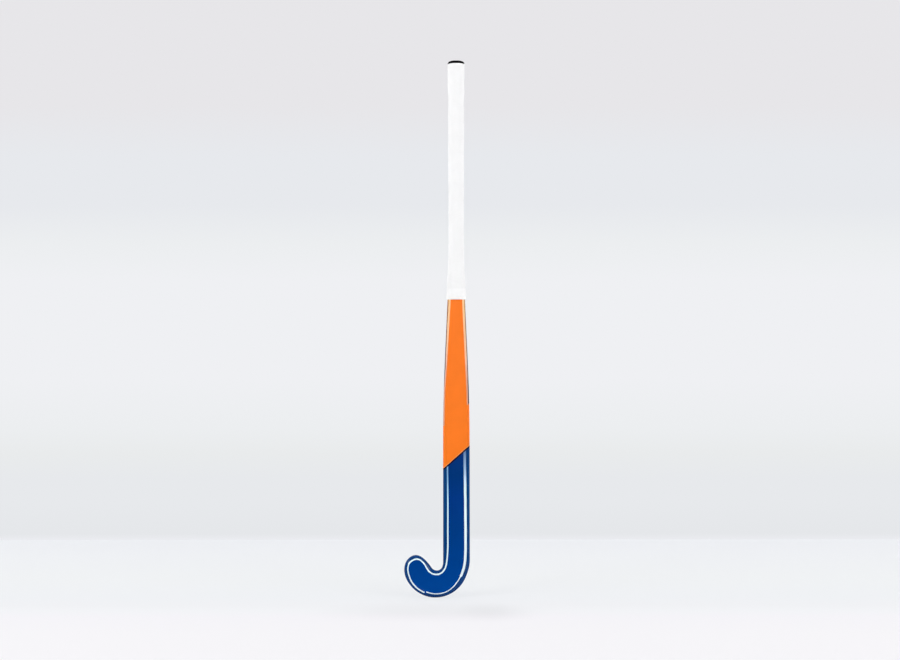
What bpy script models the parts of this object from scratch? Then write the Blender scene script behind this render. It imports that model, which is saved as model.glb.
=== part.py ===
"""Indoor hockey stick: a hollow laminated shell moulded over a foam head core and two inner tubes,
closed by a plug and a butt cap, with a wound grip. Metres; the handle runs along +Z, the playing
face looks towards -Y and the hook turns towards -X. The box round the stick stands on the origin."""

import math
from dataclasses import dataclass, replace

import bmesh
import bpy
import numpy as np

# Overall size, and the gap between pieces that touch
STICK_LENGTH = 0.9271
CLEARANCE = 0.0003

# Head, seen square to the playing face: the centre line bends twice, then the toe rounds it off
HEEL_RADIUS = 0.0543
HEEL_TURN = math.radians(23.2)
HOOK_RADIUS = 0.0334
HOOK_TURN = math.radians(122.4)
TOE_REACH = 0.0357
TOE_FULLNESS = 2.2
TOE_LEAN = 0.0038
SHAFT_HALF_WIDTH = 0.0231
HEEL_HALF_WIDTH = 0.0222
TOE_HALF_WIDTH = 0.0237
BEVEL_WIDTH = 0.0075

# Depths before and behind the widest line of the section
HEAD_FRONT = 0.0085
HEAD_BACK = 0.0110
BACK_FULLNESS = 2.3

# Handle section under the grip
HANDLE_HALF_WIDTH = 0.0120
HANDLE_FRONT = 0.0140
HANDLE_BACK = 0.0140
HANDLE_FLAT = 0.0030

# Heights above the foot between which the blade changes into the handle
TAPER_START = 0.270
TAPER_END = 0.650
FLAT_END = 0.720

# Bow: the head leans forward, and the shaft curves back to the upright handle
BOW_ANGLE = math.radians(6.5)
BOW_LENGTH = 0.360
BOW_TOP = 0.460

# Walls and inner pieces
SHELL_WALL = 0.0028
TUBE_WALL = 0.0014
INNER_CORNER = 0.0020
CORE_HEIGHT = 0.200
PLUG_LENGTH = 0.060

# Butt cap: a disc over the end, with a stem in the plug
CAP_HEIGHT = 0.0040
CAP_OVERHANG = 0.0024
CAP_ROUNDING = 0.0020
STEM_LENGTH = 0.015
STEM_HALF_WIDTH = 0.0045

# Grip: one ribbon wound down the handle, over a band of build-up tape at the top
GRIP_LENGTH = 0.409
GRIP_THICKNESS = 0.0012
WRAP_PITCH = 0.0277
WRAP_START = 0.58
WRAP_GAP = 0.0006
RIBBON_END = 0.0015
SKIVED_THICKNESS = 0.0006
SKIVED_LENGTH = 0.030
POMMEL_LENGTH = 0.048
POMMEL_THICKNESS = 0.0008
POMMEL_EDGE = 0.0004
POMMEL_TAPER = 0.030
TAPE_WIDTH = 0.018
TAPE_THICKNESS = 0.0004

# Painted lines on the blade
STRIPE_WIDTH = 0.0024
COLOUR_LINE_HEIGHT = 0.241
COLOUR_LINE_SLOPE = math.radians(41.4)
CUT_SNAP = 0.0002

# Where the playing face is measured, above the foot
FACE_MOUNT_HEIGHT = 0.080

# Facets
BEVEL_STEPS = 5
BACK_STEPS = 6
HEEL_STEPS = 4
HOOK_STEPS = 18
TOE_STEPS = 12
CAP_STEPS = 4
TAPE_STEPS = 2
SHAFT_RING_SPACING = 0.036
SHARP_ANGLE = math.radians(35)

# How finely a bend and a gap are measured
SOLE_SAMPLES = 400
GAP_SAMPLES = 4

COLOURS = {
    "blue lacquer": "#023a85",
    "orange lacquer": "#fd7e27",
    "white line": "#e6f4ff",
    "rigid foam": "#d9c79a",
    "inner laminate": "#2b2c2e",
    "grey plastic": "#8a8c8e",
    "black rubber": "#0b0b0c",
    "white polyurethane": "#f2f2f2",
    "white tape": "#f7f7f7",
    "build-up tape": "#c9c4b8",
}
ROUGHNESS = {
    "blue lacquer": 0.15,
    "orange lacquer": 0.15,
    "white line": 0.15,
    "rigid foam": 0.9,
    "inner laminate": 0.5,
    "grey plastic": 0.5,
    "black rubber": 0.6,
    "white polyurethane": 0.55,
    "white tape": 0.4,
    "build-up tape": 0.7,
}


@dataclass(frozen=True)
class Station:
    """A cut across the stick: its centre in the plan, the direction that leads away from the crook
    of the hook, and the sizes of the outline there."""

    x: float
    height: float
    out_x: float
    out_height: float
    half_width: float
    flat: float
    front: float
    back: float


def eased(start, end, value):
    """Rises smoothly from 0 to 1 as the value goes from start to end."""
    share = min(max((value - start) / (end - start), 0.0), 1.0)
    return 0.5 - 0.5 * math.cos(math.pi * share)


def between(first, second, share):
    return first + (second - first) * share


def hook_centre(turn):
    """Centre and outward direction after the centre line has turned by an angle, with the start of
    the heel bend at the origin."""
    heel_turn = min(turn, HEEL_TURN)
    x = HEEL_RADIUS * (math.cos(heel_turn) - 1)
    height = -HEEL_RADIUS * math.sin(heel_turn)
    if turn > HEEL_TURN:
        x += HOOK_RADIUS * (math.cos(turn) - math.cos(HEEL_TURN))
        height -= HOOK_RADIUS * (math.sin(turn) - math.sin(HEEL_TURN))
    return x, height, math.cos(turn), -math.sin(turn)


def hook_half_width(turn):
    if turn <= HEEL_TURN:
        return between(SHAFT_HALF_WIDTH, HEEL_HALF_WIDTH, eased(0, HEEL_TURN, turn))
    share = eased(HEEL_TURN, HEEL_TURN + HOOK_TURN, turn)
    return between(HEEL_HALF_WIDTH, TOE_HALF_WIDTH, share)


def depth_below_bend():
    """How far the sole lies below the start of the heel bend."""
    lowest = 0.0
    for turn in np.linspace(0, HEEL_TURN + HOOK_TURN, SOLE_SAMPLES):
        _, height, _, out_height = hook_centre(turn)
        lowest = min(lowest, height + hook_half_width(turn) * out_height)
    return -lowest


BEND_HEIGHT = depth_below_bend()


def hook_station(turn):
    x, height, out_x, out_height = hook_centre(turn)
    half_width = hook_half_width(turn)
    flat = half_width - BEVEL_WIDTH
    return Station(x, BEND_HEIGHT + height, out_x, out_height, half_width, flat, HEAD_FRONT, HEAD_BACK)


def shaft_station(height):
    share = eased(TAPER_START, TAPER_END, height)
    flat_share = eased(TAPER_START, FLAT_END, height)
    return Station(
        x=0.0,
        height=height,
        out_x=1.0,
        out_height=0.0,
        half_width=between(SHAFT_HALF_WIDTH, HANDLE_HALF_WIDTH, share),
        flat=between(SHAFT_HALF_WIDTH - BEVEL_WIDTH, HANDLE_FLAT, flat_share),
        front=between(HEAD_FRONT, HANDLE_FRONT, share),
        back=between(HEAD_BACK, HANDLE_BACK, share),
    )


def toe_station(angle):
    """Half a cut from the toe's centre, turned from the sole side at 0 to the crook side at pi. The
    toe is fuller than an ellipse and leans to the crook side."""
    end = hook_station(HEEL_TURN + HOOK_TURN)
    along_x, along_height = end.out_height, -end.out_x
    power = 2 / TOE_FULLNESS
    across = math.copysign(end.half_width * abs(math.cos(angle)) ** power, math.cos(angle))
    across -= TOE_LEAN * math.sin(angle) ** 2
    along = TOE_REACH * math.sin(angle) ** power
    out_x = across * end.out_x + along * along_x
    out_height = across * end.out_height + along * along_height
    reach = math.hypot(out_x, out_height)
    return replace(
        end,
        out_x=out_x / reach,
        out_height=out_height / reach,
        half_width=reach,
        flat=reach - BEVEL_WIDTH,
    )


def half_outline(station, inset=0.0, middle=0.0, striped=False):
    """Points (out, depth) from the middle of the face round one edge to the middle of the back,
    with the surface moved in by the inset and the middle kept clear by its own distance."""
    width = station.half_width - inset
    front = station.front - inset
    back = station.back - inset
    flat = min(station.flat, width - INNER_CORNER)
    bevel = width - flat
    points = [(middle, -front)]
    if striped:
        points.append((max(flat - STRIPE_WIDTH, flat / 2), -front))
    points.append((flat, -front))
    for step in range(1, BEVEL_STEPS + 1):
        angle = math.pi / 2 * step / BEVEL_STEPS
        points.append((flat + bevel * math.sin(angle), -front * math.cos(angle)))
    power = 2 / BACK_FULLNESS
    for step in range(1, BACK_STEPS):
        angle = math.pi / 2 * step / BACK_STEPS
        points.append((width * math.cos(angle) ** power, back * math.sin(angle) ** power))
    points.append((middle, back))
    return points


def bowed(x, height, depth):
    """The place in space of a plan point at a depth behind the widest line of the section."""
    below = BOW_TOP - height
    radius = BOW_LENGTH / BOW_ANGLE
    lean = min(max(below / radius, 0.0), BOW_ANGLE)
    straight = max(below - BOW_LENGTH, 0.0) + min(below, 0.0)
    y = -radius * (1 - math.cos(lean)) - straight * math.sin(lean)
    z = BOW_TOP - radius * math.sin(lean) - straight * math.cos(lean)
    return x, y + depth * math.cos(lean), z - depth * math.sin(lean)


def place(station, out, depth):
    x = station.x + out * station.out_x
    height = station.height + out * station.out_height
    return bowed(x, height, depth)


def whole_outline(station, **sizes):
    """The closed outline of a cut as points in space, from the middle of the face by way of the
    outer edge, the back and the crook side."""
    half = half_outline(station, **sizes)
    other_half = [(-out, depth) for out, depth in half[-2:0:-1]]
    return [place(station, out, depth) for out, depth in half + other_half]


def shaft_heights(low, high):
    count = max(1, math.ceil((high - low) / SHAFT_RING_SPACING))
    return [between(low, high, step / count) for step in range(count + 1)]


def hook_turns():
    """The turns of the hook's cuts, from the first one past the start of the bend to the toe."""
    heel = [HEEL_TURN * step / HEEL_STEPS for step in range(1, HEEL_STEPS + 1)]
    hook = [HEEL_TURN + HOOK_TURN * step / HOOK_STEPS for step in range(1, HOOK_STEPS + 1)]
    return heel + hook


class Skin:
    """A surface under construction: rings of points, and the strips of faces between them."""

    def __init__(self):
        self.points = []
        self.faces = []
        self.stripes = set()

    def ring(self, points):
        first = len(self.points)
        self.points.extend(points)
        return list(range(first, len(self.points)))

    def strip(self, first, second, closed=True, stripes=()):
        """Joins two rings of as many points. Where they share a point, the face is a triangle."""
        count = len(first)
        for here in range(count if closed else count - 1):
            after = (here + 1) % count
            corners = [first[here], first[after], second[after], second[here]]
            corners = list(dict.fromkeys(corners))
            if len(corners) > 2:
                if here in stripes:
                    self.stripes.add(len(self.faces))
                self.faces.append(corners)

    def lid(self, ring):
        self.faces.append(list(ring))

    def rings(self, rings):
        """Adds rings and joins each to the next."""
        made = [self.ring(points) for points in rings]
        for first, second in zip(made, made[1:]):
            self.strip(first, second)
        return made

    def blade(self, top, **sizes):
        """The surface of the stick below a height, closed at the toe. Gives back its top ring."""
        stations = [shaft_station(height) for height in reversed(shaft_heights(BEND_HEIGHT, top))]
        stations += [hook_station(turn) for turn in hook_turns()]
        half = len(half_outline(stations[0], **sizes))
        count = 2 * half - 2
        stripes = {1, count - 2} if sizes.get("striped") else set()
        made = [self.ring(whole_outline(station, **sizes)) for station in stations]
        for first, second in zip(made, made[1:]):
            self.strip(first, second, stripes=stripes)
        end = made[-1]
        sole_side = end[:half]
        crook_side = [end[0]] + end[:half - 2:-1]
        fan = [sole_side]
        for step in range(1, TOE_STEPS):
            station = toe_station(math.pi * step / TOE_STEPS)
            points = [place(station, out, depth) for out, depth in half_outline(station, **sizes)]
            fan.append([end[0]] + self.ring(points[1:-1]) + [end[half - 1]])
        fan.append(crook_side)
        for first, second in zip(fan, fan[1:]):
            self.strip(first, second, closed=False, stripes=stripes)
        return made[0]

    def mesh(self, name, stripe_slot=0):
        """A mesh of these faces, all turned to face out."""
        made = bmesh.new()
        corners = [made.verts.new(point) for point in self.points]
        for index, face in enumerate(self.faces):
            new_face = made.faces.new([corners[corner] for corner in face])
            new_face.smooth = True
            if index in self.stripes:
                new_face.material_index = stripe_slot
        bmesh.ops.recalc_face_normals(made, faces=made.faces)
        mesh = bpy.data.meshes.new(name)
        made.to_mesh(mesh)
        made.free()
        mesh.set_sharp_from_angle(angle=SHARP_ANGLE)
        return mesh


def foot_height():
    """The lowest level of the bowed head, with the level of the handle kept."""
    cuts = [hook_station(turn) for turn in hook_turns()]
    return min(point[2] for cut in cuts for point in whole_outline(cut))


# Levels along the handle that follow from the sizes above
TOP = foot_height() + STICK_LENGTH
CAP_BOTTOM = TOP - CAP_HEIGHT
RIM = CAP_BOTTOM - CLEARANCE
PLUG_BOTTOM = RIM - PLUG_LENGTH
GRIP_BOTTOM = RIM - GRIP_LENGTH
POMMEL_BOTTOM = RIM - POMMEL_LENGTH
HANDLE = shaft_station(RIM)
STEM_INSET = HANDLE_HALF_WIDTH - STEM_HALF_WIDTH
INNER_INSET = SHELL_WALL + CLEARANCE


def linear(colour):
    """Linear channels of a colour written as #rrggbb."""
    channels = [int(colour[start : start + 2], 16) / 255 for start in (1, 3, 5)]
    return [c / 12.92 if c <= 0.04045 else ((c + 0.055) / 1.055) ** 2.4 for c in channels]


def material(name):
    found = bpy.data.materials.get(name)
    if found:
        return found
    made = bpy.data.materials.new(name)
    made.use_nodes = True
    shader = made.node_tree.nodes["Principled BSDF"]
    colour = (*linear(COLOURS[name]), 1.0)
    shader.inputs["Base Color"].default_value = colour
    shader.inputs["Roughness"].default_value = ROUGHNESS[name]
    shader.inputs["Metallic"].default_value = 0.0
    made.diffuse_color = colour
    return made


def add_piece(name, mesh, parent, *materials):
    piece = bpy.data.objects.new(name, mesh)
    for each in materials:
        mesh.materials.append(material(each))
    piece.parent = parent
    parent.users_collection[0].objects.link(piece)
    return piece


def colour_line():
    """A point on the slanted line between the two colours, and the normal of its plane."""
    centre = np.array(bowed(0.0, COLOUR_LINE_HEIGHT, 0.0))
    rise = SHAFT_HALF_WIDTH * math.tan(COLOUR_LINE_SLOPE)
    edge = np.array(bowed(SHAFT_HALF_WIDTH, COLOUR_LINE_HEIGHT + rise, 0.0))
    back = np.array(bowed(0.0, COLOUR_LINE_HEIGHT, HEAD_BACK))
    normal = np.cross(edge - centre, back - centre)
    return centre, normal / np.linalg.norm(normal)


def paint_shell(mesh):
    """Cuts the faces along the colour line, and gives those above it the upper colour."""
    blue, orange, white = 0, 1, 2
    centre, normal = colour_line()
    cut = bmesh.new()
    cut.from_mesh(mesh)
    everything = cut.verts[:] + cut.edges[:] + cut.faces[:]
    bmesh.ops.bisect_plane(cut, geom=everything, dist=CUT_SNAP, plane_co=centre, plane_no=normal)
    for face in cut.faces:
        above = np.dot(np.array(face.calc_center_median()) - centre, normal) > 0
        if above:
            face.material_index = orange
        elif face.material_index != white:
            face.material_index = blue
    bmesh.ops.triangulate(cut, faces=[face for face in cut.faces if len(face.verts) > 4])
    cut.to_mesh(mesh)
    cut.free()


def add_shell(parent):
    """Head, shaft and handle in one laminate, open at the top."""
    skin = Skin()
    outer_rim = skin.blade(RIM, striped=True)
    wall = Skin()
    inner_rim = wall.blade(RIM, inset=SHELL_WALL, striped=True)
    shift = len(skin.points)
    skin.points += wall.points
    skin.faces += [[corner + shift for corner in face] for face in wall.faces]
    skin.strip(outer_rim, [corner + shift for corner in inner_rim])
    mesh = skin.mesh("stick_shell", stripe_slot=2)
    paint_shell(mesh)
    return add_piece("stick_shell", mesh, parent, "blue lacquer", "orange lacquer", "white line")


def add_head_core(parent):
    """Foam that fills the hook and the lower shaft."""
    skin = Skin()
    skin.lid(skin.blade(CORE_HEIGHT, inset=INNER_INSET))
    return add_piece("head_core", skin.mesh("head_core"), parent, "rigid foam")


def tube_outline(height, side, inset, middle):
    """A closed half outline beside the middle plane, on the side of +X for 1 and of -X for -1."""
    station = shaft_station(height)
    half = half_outline(station, inset=inset, middle=middle)
    return [place(station, side * out, depth) for out, depth in half]


def tube_body(outer_rings, inner_rings):
    """A tube with open ends between two sets of rings."""
    skin = Skin()
    outer = skin.rings(outer_rings)
    inner = skin.rings(inner_rings)
    skin.strip(outer[0], inner[0])
    skin.strip(outer[-1], inner[-1])
    return skin


def add_inner_tube(parent, name, side):
    """One of the two tubes that lie side by side in the hollow shaft."""
    heights = shaft_heights(CORE_HEIGHT + CLEARANCE, PLUG_BOTTOM - CLEARANCE)
    web = CLEARANCE / 2
    outer = [tube_outline(height, side, INNER_INSET, web) for height in heights]
    inner = [tube_outline(height, side, INNER_INSET + TUBE_WALL, web + TUBE_WALL) for height in heights]
    return add_piece(name, tube_body(outer, inner).mesh(name), parent, "inner laminate")


def handle_ring(height, inset):
    """The handle's outline at a level, moved in by an inset, or out by a negative one."""
    return whole_outline(replace(HANDLE, height=height), inset=inset)


def add_handle_plug(parent):
    """Closes the hollow handle, with a bore for the stem of the cap."""
    levels = (PLUG_BOTTOM, RIM)
    outer = [whole_outline(shaft_station(level), inset=INNER_INSET) for level in levels]
    bore = [handle_ring(level, STEM_INSET - CLEARANCE) for level in levels]
    return add_piece("handle_plug", tube_body(outer, bore).mesh("handle_plug"), parent, "grey plastic")


def add_butt_cap(parent):
    """A disc with a rounded edge over the end of the handle, and its stem."""
    rings = [
        handle_ring(CAP_BOTTOM - STEM_LENGTH, STEM_INSET),
        handle_ring(CAP_BOTTOM, STEM_INSET),
        handle_ring(CAP_BOTTOM, -CAP_OVERHANG),
    ]
    rounding = min(CAP_ROUNDING, CAP_HEIGHT / 2)
    for step in range(CAP_STEPS + 1):
        angle = math.pi / 2 * step / CAP_STEPS
        inset = rounding * (1 - math.cos(angle)) - CAP_OVERHANG
        rings.append(handle_ring(TOP - rounding * (1 - math.sin(angle)), inset))
    skin = Skin()
    made = skin.rings(rings)
    skin.lid(made[0])
    skin.lid(made[-1])
    return add_piece("butt_cap", skin.mesh("butt_cap"), parent, "black rubber")


def pommel_thickness(height):
    share = min((height - POMMEL_BOTTOM) / POMMEL_TAPER, 1.0)
    return between(POMMEL_EDGE, POMMEL_THICKNESS, share)


def grip_inside(height):
    """How far the inside of the grip stands off the shell: it climbs onto the pommel band within
    half a wrap."""
    if height >= POMMEL_BOTTOM:
        return CLEARANCE + pommel_thickness(height) + CLEARANCE
    climb = max(1 - (POMMEL_BOTTOM - height) / (WRAP_PITCH / 2), 0.0)
    return CLEARANCE + climb * (POMMEL_EDGE + CLEARANCE)


def grip_outside(height):
    """How far the outside of the grip stands off the shell: its lower end is skived thin."""
    skived = GRIP_BOTTOM + TAPE_WIDTH
    share = eased(skived, skived + SKIVED_LENGTH, height)
    return grip_inside(height) + between(SKIVED_THICKNESS, GRIP_THICKNESS, share)


def add_sleeve(parent, name, levels, inside, outside, colour):
    """A layer round the handle whose faces stand off the shell as two functions of height say."""
    outer = [whole_outline(shaft_station(level), inset=-outside(level)) for level in levels]
    inner = [whole_outline(shaft_station(level), inset=-inside(level)) for level in levels]
    return add_piece(name, tube_body(outer, inner).mesh(name), parent, colour)


def add_pommel_band(parent):
    """Build-up tape that thickens the top of the grip."""
    levels = (POMMEL_BOTTOM, POMMEL_BOTTOM + POMMEL_TAPER, RIM)
    return add_sleeve(
        parent,
        "pommel_band",
        levels,
        lambda level: CLEARANCE,
        lambda level: CLEARANCE + pommel_thickness(level),
        "build-up tape",
    )


def add_finishing_tape(parent):
    """Tape that holds down the lower end of the grip."""
    levels = [GRIP_BOTTOM + TAPE_WIDTH * step / TAPE_STEPS for step in range(TAPE_STEPS + 1)]
    return add_sleeve(
        parent,
        "finishing_tape",
        levels,
        lambda level: grip_outside(level) + CLEARANCE,
        lambda level: grip_outside(level) + CLEARANCE + TAPE_THICKNESS,
        "white tape",
    )


def outline_shares():
    """How far round the handle each point of its outline lies, as shares of the whole way."""
    outline = np.array(handle_ring(RIM, 0.0))
    lengths = np.linalg.norm(np.roll(outline, -1, axis=0) - outline, axis=1)
    return np.concatenate([[0.0], np.cumsum(lengths)[:-1]]) / lengths.sum()


def ribbon_rings():
    """The cuts across the ribbon, each with a lower, a middle and an upper point on its inside and
    as many on its outside. It enters at the rim as a narrow end on the back, winds down by way of
    -X, the face and +X, and its edges are trimmed level with the ends of the grip."""
    half_ribbon = (WRAP_PITCH - WRAP_GAP) / 2
    start = RIM - RIBBON_END + half_ribbon
    shares = outline_shares()
    first = int(np.argmin(np.abs(shares - WRAP_START)))
    rings = []
    place_round = first
    turn = 0.0
    while start - WRAP_PITCH * turn > GRIP_BOTTOM + RIBBON_END - half_ribbon:
        centre = start - WRAP_PITCH * turn
        low = max(centre - half_ribbon, GRIP_BOTTOM)
        high = min(centre + half_ribbon, RIM)
        heights = (low, (low + high) / 2, high)
        inside = [point_round(place_round, height, grip_inside) for height in heights]
        outside = [point_round(place_round, height, grip_outside) for height in reversed(heights)]
        rings.append(inside + outside)
        whole_turns, place_round = divmod(first + len(rings), len(shares))
        turn = whole_turns + shares[place_round] - shares[first]
    return rings, turn


def point_round(place_round, height, outset):
    """A numbered point of the outline at a height, standing off the shell as a function says."""
    return whole_outline(shaft_station(height), inset=-outset(height))[place_round]


def least_gap_between_wraps(rings):
    """The least distance between points of the ribbon that lie half a turn or more apart along it,
    with each cut's edges measured at points between the cuts too."""
    cuts = np.array(rings)
    half_turn = len(outline_shares()) // 2
    shares = np.arange(GAP_SAMPLES)[:, None, None, None] / GAP_SAMPLES
    points = cuts[None, :-1] * (1 - shares) + cuts[None, 1:] * shares
    points = points.transpose(1, 0, 2, 3).reshape(len(cuts) - 1, -1, 3)
    least = math.inf
    for here in range(len(points) - half_turn):
        far = points[here + half_turn : here + 3 * half_turn].reshape(-1, 3)
        gaps = np.linalg.norm(points[here][:, None] - far[None], axis=2)
        least = min(least, float(gaps.min()))
    return least


def add_grip_tape(parent):
    """The unbroken ribbon wound down the handle."""
    rings, turns = ribbon_rings()
    skin = Skin()
    made = skin.rings(rings)
    skin.lid(made[0])
    skin.lid(made[-1])
    gap = least_gap_between_wraps(rings)
    print(f"grip ribbon: {turns:.1f} turns, least gap to itself {gap * 1000:.2f} mm")
    return add_piece("grip_tape", skin.mesh("grip_tape"), parent, "white polyurethane")


def stand_on_origin(parent, pieces):
    """Moves the stick so that the middle of its box's underside is the origin."""
    corners = np.array([vertex.co for piece in pieces for vertex in piece.data.vertices])
    low, high = corners.min(axis=0), corners.max(axis=0)
    parent.location = (-(low[0] + high[0]) / 2, -(low[1] + high[1]) / 2, -low[2])
    print("box in mm:", " x ".join(f"{side * 1000:.1f}" for side in high - low))


def print_mounts(parent):
    """The places and directions of the two flat faces, in world metres."""
    shift = np.array(parent.location)
    face = np.array(bowed(0.0, FACE_MOUNT_HEIGHT, -HEAD_FRONT)) + shift
    out = np.array(bowed(0.0, FACE_MOUNT_HEIGHT, -1.0)) - np.array(bowed(0.0, FACE_MOUNT_HEIGHT, 0.0))
    butt = np.array([0.0, 0.0, TOP]) + shift
    print("playing_face at", face.round(5).tolist(), "towards", out.round(6).tolist())
    print("butt_end at", butt.round(5).tolist(), "towards [0, 0, 1]")


def clear_scene():
    for thing in list(bpy.data.objects):
        bpy.data.objects.remove(thing, do_unlink=True)


def main():
    clear_scene()
    collection = bpy.data.collections.new("indoor_hockey_stick")
    bpy.context.scene.collection.children.link(collection)
    stick = bpy.data.objects.new("handle_axis", None)
    collection.objects.link(stick)
    pieces = [
        add_shell(stick),
        add_head_core(stick),
        add_inner_tube(stick, "left_inner_tube", -1),
        add_inner_tube(stick, "right_inner_tube", 1),
        add_handle_plug(stick),
        add_butt_cap(stick),
        add_pommel_band(stick),
        add_grip_tape(stick),
        add_finishing_tape(stick),
    ]
    stand_on_origin(stick, pieces)
    print_mounts(stick)


main()
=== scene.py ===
"""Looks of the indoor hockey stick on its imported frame: a lacquered shell whose painted lines follow
its faces, a wound ribbon with its finishing tape, a rubber cap, and procedural materials inside."""

import math
from dataclasses import dataclass, replace

import bmesh
import bpy
import numpy as np
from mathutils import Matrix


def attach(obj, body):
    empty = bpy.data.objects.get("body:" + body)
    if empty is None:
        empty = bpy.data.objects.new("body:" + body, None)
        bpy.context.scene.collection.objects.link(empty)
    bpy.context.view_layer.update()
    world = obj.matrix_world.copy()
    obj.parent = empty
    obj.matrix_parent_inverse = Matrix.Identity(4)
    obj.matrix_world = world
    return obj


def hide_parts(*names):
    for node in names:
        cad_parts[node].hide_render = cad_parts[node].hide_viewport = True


MM = 0.001

# Sizes and levels of the CAD model, in metres. Heights are along the unbowed stick.
HEEL_RADIUS = 0.0543
HEEL_TURN = math.radians(23.2)
HOOK_RADIUS = 0.0334
HOOK_TURN = math.radians(122.4)
TOE_REACH = 0.0357
TOE_FULLNESS = 2.2
TOE_LEAN = 0.0038
SHAFT_HALF_WIDTH = 0.0231
HEEL_HALF_WIDTH = 0.0222
TOE_HALF_WIDTH = 0.0237
BEVEL_WIDTH = 0.0075
HEAD_FRONT = 0.0085
HEAD_BACK = 0.0110
BACK_FULLNESS = 2.3
HANDLE_HALF_WIDTH = 0.0120
HANDLE_FRONT = 0.0140
HANDLE_BACK = 0.0140
HANDLE_FLAT = 0.0030
TAPER_START = 0.270
TAPER_END = 0.650
FLAT_END = 0.720
BOW_ANGLE = math.radians(6.5)
BOW_LENGTH = 0.360
BOW_TOP = 0.460
SHELL_WALL = 0.0028
INNER_CORNER = 0.0020
CLEARANCE = 0.0003
STICK_LENGTH = 0.9271
CAP_HEIGHT = 0.0040
CAP_OVERHANG = 0.0024
STEM_LENGTH = 0.015
STEM_HALF_WIDTH = 0.0045
GRIP_LENGTH = 0.409
WRAP_PITCH = 0.0277
WRAP_START = 0.58
WRAP_GAP = 0.0006
RIBBON_END = 0.0015
POMMEL_LENGTH = 0.048
POMMEL_THICKNESS = 0.0008
POMMEL_EDGE = 0.0004
POMMEL_TAPER = 0.030
TAPE_WIDTH = 0.018
COLOUR_LINE_HEIGHT = 0.241
COLOUR_LINE_SLOPE = math.radians(41.4)

# Where the CAD model stands: the handle's axis, and the height of the lowest point of the head
AXIS_X = 0.03348
AXIS_Y = 0.01136
FOOT = 0.0014145
BEND_HEIGHT = 0.0647012

TOP = FOOT + STICK_LENGTH
CAP_BOTTOM = TOP - CAP_HEIGHT
RIM = CAP_BOTTOM - CLEARANCE
GRIP_BOTTOM = RIM - GRIP_LENGTH
POMMEL_BOTTOM = RIM - POMMEL_LENGTH
GRIP_TOP_GAP = 0.0011
GRIP_TOP = RIM - GRIP_TOP_GAP

# Steps that a ring round the handle is drawn in, and points that its length is summed over
ROUND_STEPS = 96
ROUND_SAMPLES = 401

# Cap: its rounded shoulder and its thin lip
SHOULDER_WIDTH = 0.0062
SHOULDER_HEIGHT = 0.0038
SHOULDER_STEPS = 12
SKIRT = 0.0013
SKIRT_INSIDE = 0.0018

# Ribbon: each turn's upper edge lies on the turn before. It is pulled more or less tight, which
# gives its thickness, as (height in mm, thickness in mm), and it thins to a share of that at its edges.
RIBBON = (
    (515, 1.25), (546, 1.30), (562, 0.85), (578, 0.75), (607, 0.65), (650, 0.85), (700, 1.05), (750, 1.20),
    (830, 1.30), (858, 1.10), (925, 1.05),
)
OVERLAP = 0.0025
THIN_EDGE = 0.33
EDGE_TAPER = 0.0030
BRIDGE = 0.0050
LAYER_GAP = 0.00003
STEPS_PER_TURN = 72
FIRST_LAP = 1.02
WELD = 2e-6
# Places across the ribbon in mm: near an edge, from that edge, and between, from the lower one
EDGE_ROWS = (0.0, 0.15, 0.5, 1.0, 1.7, 2.5, 3.2)
MIDDLE_ROWS = (5, 8, 11, 15, 19, 22, 23.6, 25, 26.2, 27)

# Finishing tape: one layer and a lap over its start, both as shares of the way round. Its lower edge
# is pressed on to the shell between two levels, from the grip's lower edge.
LAP = 1.07
TAPE_LAYER = 0.00018
TAPE_LIFT = 0.00035
TAPE_START = 0.60
PRESSED_FROM = 0.0006
PRESSED_TO = -0.0010
PRESSED_LIFT = 0.00012
# Levels of the tape's rows in mm, from the grip's lower edge. The last row is its own upper edge.
TAPE_ROWS = (-1.0, -0.8, -0.4, 0.0, 0.5, 1.5, 4, 7, 10, 13, 16, 17.2)

# Painted lines. Insets are from the widest line of the section, along the face. COLUMNS counts the
# strips of faces in each part of half a cut, and BACK_PIN says where the back's line lies on it.
COLUMNS = (4, 2, 3, 2, 12, 2, 7)
BODY, LINE, EDGE, PIN, BAND, WALL = range(6)
BACK_PIN = (1.42, 1.47)
LINE_TRIM = 0.0002
OUTER_LINE_WIDTH = 0.0045
CROOK_LINE_WIDTH = 0.00255
BORDER_WIDTH = 0.0024
EDGING_WIDTH = 0.0006
BAND_END = 0.0547
RING_SPACING = 0.004
HOOK_STEP = math.radians(1.5)
TOE_STEP = math.radians(3.75)
INSIDE_SPACING = 0.03
INSIDE_STEP = math.radians(6)
# The outer line's gap, in degrees of turn, and the height below which each line is the outer one
SOLE_BREAK = (109.6, 112.2)
SOLE_TOP = 0.035
CUT_REACH = 1e-6
SHARP_EDGE = math.radians(40)

# (height in mm, inset of the line's middle in mm), from the foot up
OUTER_SHAFT = ((64, 8.30), (75, 7.70), (85, 7.45), (120, 7.46), (160, 7.73), (200, 8.21), (230, 8.60))
CROOK_SHAFT = ((64, 6.78), (74, 7.65), (85, 8.20), (160, 8.24), (180, 8.14), (200, 7.85), (230, 7.60))
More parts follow.
